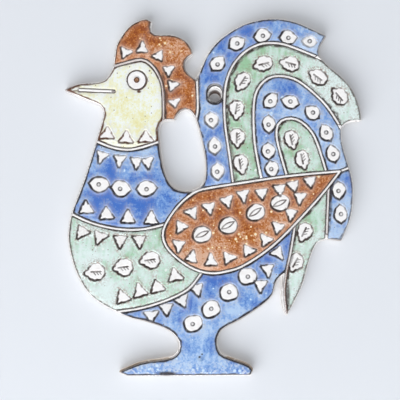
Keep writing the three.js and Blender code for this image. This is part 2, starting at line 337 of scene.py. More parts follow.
class GlazeColours(PropertyGroup):
    blue_deep: colour("Deep blue", "396DC2", "Cobalt blue glaze where it lies thick")
    blue: colour("Blue", "79A2DC", "Cobalt blue glaze")
    blue_pale: colour("Pale blue", "B4CFF0", "Cobalt blue glaze where it lies thin")
    blue_thin: colour("Broken blue", "D8E2EE", "Cobalt blue glaze that breaks on an edge")
    green_deep: colour("Deep green", "98C6A0", "Copper green glaze where it lies thick")
    green: colour("Green", "C6E2D5", "Copper green glaze")
    green_pale: colour("Pale green", "E0F0EE", "Copper green glaze where it lies thin")
    green_thin: colour("Broken green", "E8F1EE", "Copper green glaze that breaks on an edge")
    rust_deep: colour("Deep rust", "843A04", "Iron rust glaze where it lies thick")
    rust: colour("Rust", "B66A1E", "Iron rust glaze")
    rust_pale: colour("Pale rust", "D9AE92", "Iron rust glaze where it lies thin")
    rust_thin: colour("Broken rust", "E2C6B6", "Iron rust glaze that breaks on an edge")
    cream_deep: colour("Deep cream", "E9E4A8", "Rutile cream glaze where it lies thick")
    cream: colour("Cream", "F0F3DA", "Rutile cream glaze")
    cream_pale: colour("Pale cream", "F3F8F4", "Rutile cream glaze where it lies thin")
    cream_thin: colour("Broken cream", "F3F7F6", "Rutile cream glaze that breaks on an edge")
    speck: colour("Iron speck", "7C6152", "Iron specks in the glazes")
    slip: colour("White slip", "F8F7F7", "White clay slip under clear glaze")
    slip_shade: colour("Shaded slip", "DDD2CC", "White slip that holds a little oxide")
    oxide: colour("Brown oxide", "381B10", "Iron oxide wiped into lines and edges")
    oxide_wash: colour("Oxide wash", "8C624C", "Iron oxide wiped thin")
    pupil: colour("Pupil", "A57650", "Brown button of the eye")
    clay: colour("Bare clay", "E6DBCE", "Unglazed stoneware of the back")
    warm_clay: colour("Warm clay", "CDB9A3", "Unglazed stoneware that the flame touched")
    grog: colour("Grog", "8A5E42", "Rusty grog in the clay")
    # Painted shade: this colour also paints the shade in the nail hole and on the rims that stay in shadow
    rim_stain_and_shade: colour("Stained rim", "55453F", "Oxide on the slab's rim and in its hole")
    wall: colour("Wall", "E4E8EE", "Backdrop that the plaque hangs on")
    floor: colour("Floor", "E9ECF1", "Floor of the set")
    sky: colour("Sky", "E6EAF0", "What the camera sees beyond the set")


class RoosterPlaque(PropertyGroup):
    sizes: PointerProperty(type=PlaqueSizes)
    colours: PointerProperty(type=GlazeColours)


# Fields over the plaque's points
def ramp(values, start, end):
    """Smooth step from 0 at start to 1 at end, which may lie below start."""
    share = np.clip((values - start) / (end - start), 0.0, 1.0)
    return share * share * (3.0 - 2.0 * share)


def bell(values, width):
    return np.exp(-np.square(values / width))


def toward(degrees):
    """Direction at an angle from x."""
    return np.array((math.cos(math.radians(degrees)), math.sin(math.radians(degrees))))


def apart(spots, x, z):
    """Distance from each spot to the place."""
    return np.hypot(*(spots - (x, z)).T)


def around(spots, x, z, reach):
    """1 at the place, and fading out over the reach."""
    return bell(apart(spots, x, z), reach)


def gathered(spots, patches):
    """Sum of soft patches, each with its place, reach and strength."""
    field = np.zeros(len(spots))
    for x, z, reach, strength in patches:
        field += strength * around(spots, x, z, reach)
    return field


def wander(spots, reach):
    """Smooth uneven field, mostly between -1 and 1, that changes over the given reach in mm."""
    hand = np.random.default_rng(29)
    field = np.zeros(len(spots))
    for _ in range(8):
        heading, phase = hand.uniform(0, math.tau, 2)
        wave = math.pi / (reach * hand.uniform(0.6, 1.6))
        field += np.sin(wave * (spots @ (math.cos(heading), math.sin(heading))) + phase)
    return field / 2.5


def brush_marks(spots, heading):
    """Uneven field that is drawn out along the brush's heading, given in degrees."""
    stretch, width = 5, 2.4
    along, across = spots @ toward(heading), spots @ toward(heading + 90)
    return wander(np.column_stack((along / stretch, across)), width)


# Outlines of the stamps, as distances in mm that are below 0 inside. The long axis is x.
def rounded_overlap(first, second, rounding):
    """Distance to what two outlines share, with its corners rounded."""
    share = np.clip(0.5 + 0.5 * (first - second) / rounding, 0.0, 1.0)
    return second + (first - second) * share + rounding * share * (1.0 - share)


def triangle_outline(x, y, size, breadth):
    """Triangle that points along x, with sides that hardly bow in and blunt corners."""
    tip, foot, half = 0.72 * size, -0.38 * size, 0.57 * breadth
    corners = ((tip, 0.0), (foot, half), (foot, -half))
    outside = np.full(len(x), -np.inf)
    for (from_x, from_y), (to_x, to_y) in zip(corners, corners[1:] + corners[:1]):
        side = math.hypot(to_x - from_x, to_y - from_y)
        sag = 0.01 * side
        arc = (side ** 2 / 4 + sag ** 2) / (2 * sag)
        centre_x = (from_x + to_x) / 2 + (to_y - from_y) / side * (arc - sag)
        centre_y = (from_y + to_y) / 2 - (to_x - from_x) / side * (arc - sag)
        flank = arc - np.hypot(x - centre_x, y - centre_y)
        outside = rounded_overlap(np.maximum(outside, flank - 9.0), flank, 1.9)
    return outside


def bean_outline(x, y, size, breadth):
    return (np.hypot(x / size, y / breadth) * 2 - 1) * breadth / 2


def slit_outline(x, y, size, breadth):
    """Two arcs that meet at points."""
    arc = (size ** 2 + breadth ** 2) / (4 * breadth)
    centre = arc - breadth / 2
    return np.maximum(np.hypot(x, y - centre) - arc, np.hypot(x, y + centre) - arc)


def button_outline(x, y, size, breadth):
    """Round with four blunt corners."""
    power = 2.5
    out = (np.abs(2 * x / size) ** power + np.abs(2 * y / breadth) ** power) ** (1 / power)
    return (out - 1) * breadth / 2


def seed_outline(x, y, size, breadth):
    """Lemon shape: a round body with a small point at each end."""
    body = bean_outline(x, y, 0.86 * size, 0.96 * breadth)
    points = slit_outline(x, y, 1.04 * size, 0.6 * breadth)
    return -rounded_overlap(-body, -points, 1.2)


def leaf_outline(x, y, size, breadth):
    """Round blade with a wavy edge and a short blunt stalk end."""
    blade = bean_outline(x - 0.05 * size, y, 0.88 * size, breadth)
    blade += 0.2 * np.cos(9 * np.arctan2(y, x))
    stalk = bean_outline(x + 0.38 * size, y, 0.3 * size, 0.32 * breadth)
    return -rounded_overlap(-blade, -stalk, 1.4)


def evened(outline, x, y, size, breadth):
    """The outline's distance, set right so that a line along it keeps its width round the corners."""
    step = 0.05
    middle = outline(x, y, size, breadth)
    slope_x = outline(x + step, y, size, breadth) - middle
    slope_y = outline(x, y + step, size, breadth) - middle
    return middle * step / np.maximum(np.hypot(slope_x, slope_y), 0.3 * step)


# Lines inside the stamps, as distances in mm.
def no_mark(x, y):
    return np.full(len(x), np.inf)


def ring_mark(x, y):
    """Ring whose middle holds a little oxide too."""
    radius, inmost = 1.4, 0.68
    out = np.hypot(x, y) - radius
    return np.where(out < 0, np.minimum(-out, inmost), out)


def vein_mark(x, y):
    """Middle vein with three short and finer side veins on one side."""
    veins = [((-3.6, 0.4), (4.4, -0.2), -0.2)]
    veins += [((foot, 0.0), (foot + 1.8, -2.6), 0.14) for foot in (-2.0, 0.4, 2.7)]
    nearest = np.full(len(x), np.inf)
    for (from_x, from_y), (to_x, to_y), finer in veins:
        run_x, run_y = to_x - from_x, to_y - from_y
        along = ((x - from_x) * run_x + (y - from_y) * run_y) / (run_x ** 2 + run_y ** 2)
        share = np.clip(along, 0.0, 1.0)
        out = np.hypot(x - from_x - share * run_x, y - from_y - share * run_y)
        nearest = np.minimum(nearest, out + finer)
    return nearest


def slit_mark(x, y):
    return np.abs(slit_outline(x, y, 11.8, 3.3))


STAMPS = {
    "triangle": (triangle_outline, no_mark),
    "seed": (seed_outline, ring_mark),
    "button": (button_outline, ring_mark),
    "leaf": (leaf_outline, vein_mark),
    "bean": (bean_outline, slit_mark),
}
STAMP_MARGIN = 8.0  # how far a stamp's halo is followed, mm
TURN_SPREAD = 3.0  # how unevenly the stamps were turned, degrees
# Painted shade: the oxide line round each stamp is heavier on this side, where the stamp's wall stays in
# shadow
SHADED_STAMP_SIDE = 235.0  # side on which the oxide lies thickest, degrees from x
SHADED_STAMP_SPREAD = 30.0


def press_stamps(panel, rows, spots, sizes):
    """Depth in mm, white slip, oxide lines and thinned glaze that the stamps give to the panel's points, with
    the lines heavier on the lower left as painted shade.
    """
    depth, slip, stain, thin = np.zeros((4, len(spots)))
    pressed, line, halo = sizes.stamp_depth / MM, sizes.oxide_line / MM, sizes.halo / MM
    hand = np.random.default_rng(sum(panel.encode()))
    for row in rows:
        outline, mark = STAMPS[row.stamp]
        places = np.array(row.places)
        steps = np.gradient(places, axis=0) if len(places) > 1 else np.array([[1.0, 0.0]])
        headings = np.arctan2(*steps.T[::-1])
        for place, heading, turn in zip(places, headings, cycle(row.turns)):
            wobble = hand.uniform(0, math.tau, 3)
            angle = heading + math.radians(turn + hand.normal(0, TURN_SPREAD))
            most_shaded = math.radians(hand.normal(SHADED_STAMP_SIDE, SHADED_STAMP_SPREAD))
            near = np.flatnonzero(apart(spots, *place) < row.length / 2 + STAMP_MARGIN)
            right, up = (spots[near] - place).T
            x = right * math.cos(angle) + up * math.sin(angle)
            y = up * math.cos(angle) - right * math.sin(angle)
            bearing = np.arctan2(y, x)

            # Uneven outline, and an oxide line along it that swells and thins, and swells on the lower left
            # as painted shade
            outside = evened(outline, x, y, row.length, row.breadth)
            outside += 0.22 * np.sin(2 * bearing + wobble[0]) + 0.18 * np.sin(3 * bearing + wobble[1])
            outside += 0.08 * np.sin(6 * bearing + wobble[2])
            weight_and_shade = 0.58 + 0.42 * np.cos(np.arctan2(up, right) - most_shaded)
            weight_and_shade += 0.2 * np.sin(3 * bearing + wobble[1]) + 0.18 * np.sin(7 * bearing + wobble[2])
            weight_and_shade = np.clip(weight_and_shade, 0.05, 1.15)
            reach = line * (0.66 + 0.72 * weight_and_shade)
            edge_line = ramp(np.abs(outside - 0.1), 1.3 * reach, 0.6 * reach)

            # Lines inside, a little off the middle
            marked = mark(x - 0.5 * math.cos(wobble[1]), y - 0.5 * math.sin(wobble[1]))
            inner_line = ramp(marked, 1.2 * line, 0.35 * line) * (outside < -0.3)
            inner_line *= 0.85 + 0.15 * np.cos(bearing - wobble[2])

            floor = ramp(outside, 0.3, -0.7)
            lip = bell(outside - 1.4, 0.7)
            depth[near] += pressed * (0.8 * floor + 0.35 * edge_line + 0.35 * inner_line - 0.2 * lip)
            slip[near] = np.maximum(slip[near], row.slip * ramp(outside, 0.35, -0.3))
            drawn = np.maximum(row.ink * edge_line * (0.62 + 0.5 * weight_and_shade), inner_line)
            stain[near] = np.maximum(stain[near], drawn)
            thin[near] = np.maximum(thin[near], np.exp(-np.maximum(outside, 0.0) / halo))
    return depth, slip, stain, thin


# Mesh tools
MERGE_DISTANCE = 0.002 * MM
FRONT_TOLERANCE = 0.01  # within which a triangle lies in a flat front, mm
EDGE_SPACING = 0.2  # of the points along a panel's or strip's edges, mm


def select_only(piece):
    bpy.ops.object.select_all(action="DESELECT")
    piece.select_set(True)
    bpy.context.view_layer.objects.active = piece


def clay_copy(node):
    """New object on a merged copy of the node's loose triangles."""
    piece = bpy.data.objects.new(f"{node}_fired", frame["nodes"][node].data.copy())
    piece.data.materials.clear()
    bpy.context.collection.objects.link(piece)
    select_only(piece)
    bpy.ops.object.mode_set(mode="EDIT")
    bpy.ops.mesh.select_all(action="SELECT")
    bpy.ops.mesh.remove_doubles(threshold=MERGE_DISTANCE)
    bpy.ops.object.mode_set(mode="OBJECT")
    return piece


def apply_modifier(piece, kind, **settings):
    select_only(piece)
    modifier = piece.modifiers.new(kind.lower(), kind)
    for name, value in settings.items():
        setattr(modifier, name, value)
    bpy.ops.object.modifier_apply(modifier=modifier.name)


def soften(piece, grain, rounding):
    """Turns the sharp copy into clay: an even mesh with rounded edges."""
    apply_modifier(piece, "REMESH", mode="VOXEL", voxel_size=grain)
    apply_modifier(piece, "SMOOTH", factor=0.5, iterations=rounding)
    bpy.ops.object.shade_smooth()


def read_points(piece):
    """The mesh's points in mm, one row each."""
    points = np.empty(len(piece.data.vertices) * 3)
    piece.data.vertices.foreach_get("co", points)
    return points.reshape(-1, 3) / MM


def read_rise(piece):
    """How far each point's normal looks up, from -1 to 1."""
    normals = np.empty(len(piece.data.vertices) * 3, dtype=np.float32)
    piece.data.vertex_normals.foreach_get("vector", normals)
    return normals.reshape(-1, 3)[:, 2]


def write_points(piece, points):
    piece.data.vertices.foreach_set("co", (points * MM).ravel())
    piece.data.update()


def write_covers(piece, **covers):
    for name, values in covers.items():
        attribute = piece.data.attributes.new(name, "FLOAT", "POINT")
        attribute.data.foreach_set("value", np.clip(values, -1.0, 1.0).astype(np.float32))


def front_edges(node):
    """Closely spaced points, x and z in mm, along the edges of the node's flat front."""
    mesh = frame["nodes"][node].data
    corners = np.array([tuple(vertex.co) for vertex in mesh.vertices]) / MM
    mesh.calc_loop_triangles()
    triangles = np.array([tuple(triangle.vertices) for triangle in mesh.loop_triangles])
    front = corners[:, 1].min() + FRONT_TOLERANCE
    triangles = triangles[(corners[triangles][:, :, 1] < front).all(axis=1)]
    uses = {}
    for triangle in np.round(corners[triangles][:, :, [0, 2]], 3):
        ends = [tuple(corner) for corner in triangle]
        for first, second in zip(ends, ends[1:] + ends[:1]):
            key = (min(first, second), max(first, second))
            uses[key] = uses.get(key, 0) + 1
    points = []
    for (first, second), count in uses.items():
        if count == 1:
            steps = max(2, math.ceil(math.dist(first, second) / EDGE_SPACING))
            points.extend(np.linspace(first, second, steps, endpoint=False))
    return points


def from_edge(node, spots):
    """Distance in mm from each spot to the nearest edge of the node's front, and the bearing to it."""
    edge = front_edges(node)
    tree = KDTree(len(edge))
    for index, (x, z) in enumerate(edge):
        tree.insert((x, z, 0.0), index)
    tree.balance()
    distance, bearing = np.empty((2, len(spots)))
    for index, (x, z) in enumerate(spots):
        nearest, _, distance[index] = tree.find((x, z, 0.0))
        bearing[index] = math.atan2(nearest.y - z, nearest.x - x)
    return distance, bearing


def settle(piece, node, finish):
    """Dresses the piece and lets it stand for its solid."""
    piece.data.materials.append(finish)
    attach(piece, "root")
    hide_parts(node)


# Materials
FIRED_IOR = 1.5  # of glaze and clay, and near enough of paint
TIMES = {"operation": "MULTIPLY"}  # settings that many nodes share
PLUS = {"operation": "ADD"}
SMOOTH = {"interpolation_type": "SMOOTHSTEP"}


def add_node(tree, kind, inputs=(), out=0, **settings):
    """Adds a shader node, sets it up, links or fills its inputs and returns one of its outputs, if any."""
    node = tree.nodes.new("ShaderNode" + kind)
    for name, value in settings.items():
        setattr(node, name, value)
    for socket, value in dict(inputs).items():
        if isinstance(value, NodeSocket):
            tree.links.new(value, node.inputs[socket])
        else:
            node.inputs[socket].default_value = value
    return node.outputs[out] if node.outputs else None


def new_material(name):
    """An empty material, what adds a node to it, and the piece's own coordinates."""
    material = bpy.data.materials.new(name)
    material.use_nodes = True
    material.node_tree.nodes.clear()
    add = partial(add_node, material.node_tree)
    return material, add, add("TexCoord", out="Object")


def close_material(material, add, surface, gloss, skin, strength, relief, shine=0.5):
    """Gives a ceramic material its colour, its gloss and a skin in fine relief, in mm."""
    bump = add("Bump", {"Strength": strength, "Distance": relief * MM, "Height": skin})
    shader = add("BsdfPrincipled", {
        "Base Color": surface, "Roughness": gloss, "Normal": bump, "IOR": FIRED_IOR,
        "Specular IOR Level": shine,
    })
    add("OutputMaterial", {"Surface": shader})
    return material


class Glaze(NamedTuple):
    name: str
    colours: str  # how the names of its colours begin
    cloud: float  # size of the brushed clouds, mm
    deepest: float  # how far the tone runs from the usual before the glaze is at its deepest
    palest: float  # and at its palest
    grain: float  # how much the fine mottling shows
    break_power: float  # how fast the broken rim fades out from a stamp
    fleck_share: float  # share of the places that hold a burst bubble
    fleck: str
    fleck_rim: str
    speck_share: float  # share of the places that hold an iron speck
    dirt: float  # how brown the oxide leaves the glaze beside stamps and edges
    oxide: str  # colour that the oxide fires to in it


GLAZES = {
    "blue_glaze": Glaze(
        "cobalt blue stoneware glaze", "blue", 13.0, 0.185, 0.2, 0.55, 0.95, 0.02, "CFE3F7", "A6C8EF",
        0.012, 0.5, "211C22",
    ),
    "green_glaze": Glaze(
        "copper green stoneware glaze", "green", 14.0, 0.175, 0.19, 0.45, 1.2, 0.01, "E8F1EC", "D9EBE2",
        0.03, 0.95, "33241F",
    ),
    "rust_glaze": Glaze(
        "iron rust stoneware glaze", "rust", 9.0, 0.28, 0.27, 1.5, 0.95, 0.08, "F4E4C9", "D9A055",
        0.03, 0.2, "341E14",
    ),
    "cream_glaze": Glaze(
        "rutile cream stoneware glaze", "cream", 6.0, 0.28, 0.075, 0.85, 0.8, 0.0, "F4F4E6", "F2F1DC",
        0.06, 0.3, "55301C",
    ),
}
GRAIN_SIZE = 1.3  # patterns of all glazes, mm
BLOT_SIZE = 5.0
FOAM_SIZE = 2.6
FLECK_SPACING = 4.4  # burst bubbles, mm
FLECK_RADIUS = 2.1
SPECK_SPACING = 2.6  # iron specks, mm
SPECK_RADIUS = 0.65


def make_glaze(glaze, colours):
    """Brushed stoneware glaze: cloudy where it pooled, pale where it broke over clay edges, with burst
    bubbles, iron specks and a soft gloss."""
    material, add, place = new_material(glaze.name)
    deep, usual, pale, thin = (
        getattr(colours, glaze.colours + suffix) for suffix in ("_deep", "", "_pale", "_thin")
    )
    cover = {
        name: add("Attribute", out="Fac", attribute_name=name)
        for name in ("slip", "stain", "thin", "paler", "frost", "iron", "bubbles", "burst")
    }
    clouds, grain, blot, foam = (
        add("TexNoise", {
            "Vector": place, "Scale": 1 / (size * MM), "Detail": detail, "Roughness": rough,
            "Distortion": bent,
        })
        for size, detail, rough, bent in (
            (glaze.cloud, 5.0, 0.62, 0.5), (GRAIN_SIZE, 3.0, 0.6, 0.0), (BLOT_SIZE, 2.0, 0.5, 0.0),
            (FOAM_SIZE, 1.0, 0.5, 0.0),
        )
    )

    # Brushed body colour
    mottle = add("Math", {0: grain, 1: 0.5}, operation="SUBTRACT")
    tone = add("Math", {0: mottle, 1: glaze.grain, 2: clouds}, operation="MULTIPLY_ADD")
    tone = add("Math", {0: tone, 1: cover["paler"]}, **PLUS)
    body = add("ValToRGB", {0: tone})
    stops = body.node.color_ramp.elements
    stops[0].position, stops[0].color = 0.5 - glaze.deepest, deep
    stops[1].position, stops[1].color = 0.5 + glaze.palest, pale
    stops.new(0.5).color = usual

    # Burst bubbles and iron specks: dots of many sizes in a few of the cells of a scatter over the face
    flat = add("Mapping", {"Vector": place, "Rotation": (math.pi / 2, 0, 0)})
    specked = add("Math", {0: cover["iron"], 1: glaze.speck_share}, **PLUS)
    bubbled = add("Math", {0: cover["bubbles"], 1: glaze.fleck_share}, **PLUS)
    dots = {}
    for kind, spacing, share, radius in (
        ("rim", FLECK_SPACING, bubbled, FLECK_RADIUS),
        ("fleck", FLECK_SPACING, bubbled, 0.7 * FLECK_RADIUS),
        ("speck", SPECK_SPACING, specked, SPECK_RADIUS),
    ):
        out = add("TexVoronoi", {"Vector": flat, "Scale": 1 / (spacing * MM)}, voronoi_dimensions="2D")
        luck = add("SeparateColor", {0: out.node.outputs["Color"]}).node.outputs
        widest = radius / spacing
        reach = add("MapRange", {0: luck[1], 3: 0.25 * widest, 4: 0.9 * widest})
        out = add("Math", {0: out, 1: reach}, operation="DIVIDE")
        dot = add("MapRange", {0: out, 1: 0.6, 2: 1.0, 3: 1.0, 4: 0.0}, **SMOOTH)
        chosen = add("Math", {0: luck[0], 1: share}, operation="LESS_THAN")
        dots[kind] = add("Math", {0: dot, 1: chosen}, **TIMES)
    for kind, edge in (("rim", 0.0), ("fleck", 0.3)):
        large = add("MapRange", {0: cover["burst"], 1: edge, 2: edge + 0.25}, **SMOOTH)
        dots[kind] = add("Math", {0: dots[kind], 1: large}, operation="MAXIMUM")

    # Where the glaze broke, froze into freckles or took the oxide. Each veil is a cover, held back by a
    # pattern that lets the least of it through at its start and the most at its end.
    beside, far_beside = (
        add("Math", {0: cover["thin"], 1: power}, operation="POWER") for power in (glaze.break_power, 0.5)
    )
    veil = {}
    for name, pattern, start, end, least, most, rise, held in (
        ("broken", blot, 0.3, 0.75, 0.55, 1.0, "LINEAR", beside),
        ("dirty", grain, 0.42, 0.62, 0.0, glaze.dirt, "SMOOTHSTEP", far_beside),
        ("freckled", foam, 0.5, 0.62, 0.0, 1.0, "SMOOTHSTEP", cover["frost"]),
        ("gritty", grain, 0.3, 0.46, 0.86, 1.0, "LINEAR", cover["stain"]),
        ("shaded", blot, 0.48, 0.75, 0.0, 0.3, "LINEAR", cover["slip"]),
    ):
        let = add("MapRange", {0: pattern, 1: start, 2: end, 3: least, 4: most}, interpolation_type=rise)
        veil[name] = add("Math", {0: let, 1: held}, **TIMES)
    # The oxide cover also carries the painted shade that the panels give their lines and edges
    let = add("MapRange", {0: blot, 1: 0.3, 2: 0.46, 3: 0.8, 4: 1.0}, **SMOOTH)
    oxide_and_shade = add("Math", {0: let, 1: veil["gritty"]}, **TIMES)
    surface = body
    for amount, paint in (
        (veil["broken"], thin),
        (veil["dirty"], colours.oxide_wash),
        (dots["rim"], linear(glaze.fleck_rim)),
        (dots["fleck"], linear(glaze.fleck)),
        (veil["freckled"], thin),
        (dots["speck"], colours.speck),
        (cover["slip"], colours.slip),
        (veil["shaded"], colours.slip_shade),
        (oxide_and_shade, linear(glaze.oxide)),
    ):
        surface = add("Mix", {0: amount, 6: surface, 7: paint}, 2, data_type="RGBA")

    # Soft gloss, duller in the oxide, over a slightly pitted skin
    gloss = add("MapRange", {0: oxide_and_shade, 3: 0.3, 4: 0.55})
    skin = add("Math", {0: grain, 1: dots["fleck"]}, **PLUS)
    return close_material(material, add, surface, gloss, skin, strength=0.25, relief=0.15, shine=0.35)


def make_slip(name, colours, body, wash_share):
    """White clay under clear glaze, with oxide wiped thin in patches and left dark in the creases."""
    patch_size, grain_size = 9.0, 1.1  # mm
    material, add, place = new_material(name)
    stain, wash = (add("Attribute", out="Fac", attribute_name=cover) for cover in ("stain", "wash"))
    patches = add("TexNoise", {"Vector": place, "Scale": 1 / (patch_size * MM), "Detail": 4.0})
    grain = add("TexNoise", {"Vector": place, "Scale": 1 / (grain_size * MM), "Detail": 3.0})
    washed = add("MapRange", {0: patches, 1: 0.42, 2: 0.68, 3: 0.0, 4: wash_share}, **SMOOTH)
    washed = add("Math", {0: washed, 1: wash}, use_clamp=True, **PLUS)
    gritty = add("MapRange", {0: grain, 1: 0.3, 2: 0.6, 3: 0.55, 4: 1.0})
    lines = add("Math", {0: gritty, 1: stain}, **TIMES)
    surface = add("Mix", {0: washed, 6: body, 7: colours.oxide_wash}, 2, data_type="RGBA")
    surface = add("Mix", {0: lines, 6: surface, 7: colours.oxide}, 2, data_type="RGBA")
    gloss = add("MapRange", {0: grain, 3: 0.28, 4: 0.42})
    return close_material(material, add, surface, gloss, grain, strength=0.2, relief=0.12)


def make_bare_clay(colours):
    """Sponged stoneware: dull and gritty, with warm patches from the fire, streaks from the sponge and rusty
    grog. White slip that ran over the edge covers its rim. The grog is drawn coarser than real grog, which
    would not show."""
    flame_size, grog_size, sponge_size, streak_size = 60.0, 1.9, 4.0, 5.0  # mm
    material, add, place = new_material("bare sponged stoneware")
    slip, stain = (add("Attribute", out="Fac", attribute_name=cover) for cover in ("slip", "stain"))
    drawn_out = add("Mapping", {"Vector": place, "Rotation": (0, 0.5, 0), "Scale": (0.3, 1, 1)})
    flame, grog, sponge, streaks = (
        add("TexNoise", {"Vector": spread, "Scale": 1 / (size * MM), "Detail": detail, "Roughness": rough})
        for spread, size, detail, rough in (
            (place, flame_size, 3.0, 0.5), (place, grog_size, 3.0, 0.6), (place, sponge_size, 4.0, 0.5),
            (drawn_out, streak_size, 5.0, 0.5),
        )
    )
    tone = add("Math", {0: streaks, 1: 0.4, 2: flame}, operation="MULTIPLY_ADD")
    tone = add("Math", {0: sponge, 1: 0.7, 2: tone}, operation="MULTIPLY_ADD")
    tone = add("MapRange", {0: tone, 1: 0.75, 2: 1.35})
    rusty = add("MapRange", {0: grog, 1: 0.61, 2: 0.67, 4: 0.75}, **SMOOTH)
    run = add("Math", {0: sponge, 1: slip}, **PLUS)
    run = add("MapRange", {0: run, 1: 0.85, 2: 1.05}, **SMOOTH)
    surface = colours.warm_clay
    # The stain paints oxide and painted shade on the rim, and painted shade in the nail hole
    for amount, paint in (
        (tone, colours.clay), (rusty, colours.grog), (run, colours.slip), (stain, colours.rim_stain_and_shade),
    ):
        surface = add("Mix", {0: amount, 6: surface, 7: paint}, 2, data_type="RGBA")
    gloss = add("MapRange", {0: run, 3: 0.85, 4: 0.4})
    skin = add("Math", {0: grog, 1: streaks}, **PLUS)
    return close_material(material, add, surface, gloss, skin, strength=0.5, relief=0.3)


# Pieces
class ROOSTER_OT_slab(Operator):
    """Model the backing slab, with its sponged edge and the slip that ran over it"""

    bl_idname = "rooster.slab"
    bl_label = "Backing slab"

    rounding = 4  # smoothing steps
    hole_wall = (10.0, 9.0)  # reach of the nail hole's wall from its middle, mm
    # Painted shade: the rim's sides that look this way stay in shadow and are painted darker
    shaded_rim_side = math.radians(35)  # side of the rim that holds more oxide, from x

    def execute(self, context):
        plaque = context.scene.rooster_plaque
        node = "backing_slab"
        slab = clay_copy(node)
        soften(slab, plaque.sizes.slab_grain, self.rounding)
        apply_modifier(slab, "DECIMATE", ratio=plaque.sizes.slab_share)
        points = read_points(slab)
        spots, depth, height = points[:, [0, 2]], -points[:, 1], points[:, 2]

        # Painted shade in the nail hole: darkest at its back and on its lower wall
        hole = next(mount for mount in frame["record"]["mounts"] if mount["name"] == "nail_hole")
        hole_x, _, hole_z = (metres / MM for metres in hole["pos_m"])
        near_hole = ramp(apart(spots, hole_x, hole_z), *self.hole_wall)
        shaded = np.maximum(ramp(depth, 6.8, 3.6), ramp(hole_z - height, -1.0, 3.0))
        bore_shade = near_hole * shaded * ramp(depth, 0.0, 0.6)

        # Oxide on the rim here and there, and painted shade on the rim where it stays in shadow: on the sides
        # that look to the upper right and on top of the foot, where the painted shade also takes back the
        # slip
        oxide_and_shade = np.maximum.reduce([around(spots, *rim) for rim in DARK_RIMS])
        _, bearing = from_edge(node, spots)
        shaded_upper_right = ramp(np.cos(bearing - self.shaded_rim_side), 0.2, 0.7)
        rim = np.maximum(0.75 * oxide_and_shade, 0.6 * shaded_upper_right) * ramp(depth, 5.6, 7.4)
        # Painted shade on top of the foot's rim
        shaded_foot_rim = ramp(height, *FOOT_SOLE) * ramp(height, *FOOT_TOP) * ramp(depth, 0.3, 1.5)
        write_covers(
            slab,
            slip=ramp(depth, 0.8, 4.5) * (1 - 0.7 * shaded_foot_rim),
            stain=np.maximum.reduce([bore_shade, rim, 0.3 * shaded_foot_rim]),
        )
        settle(slab, node, make_bare_clay(plaque.colours))
        return {"FINISHED"}


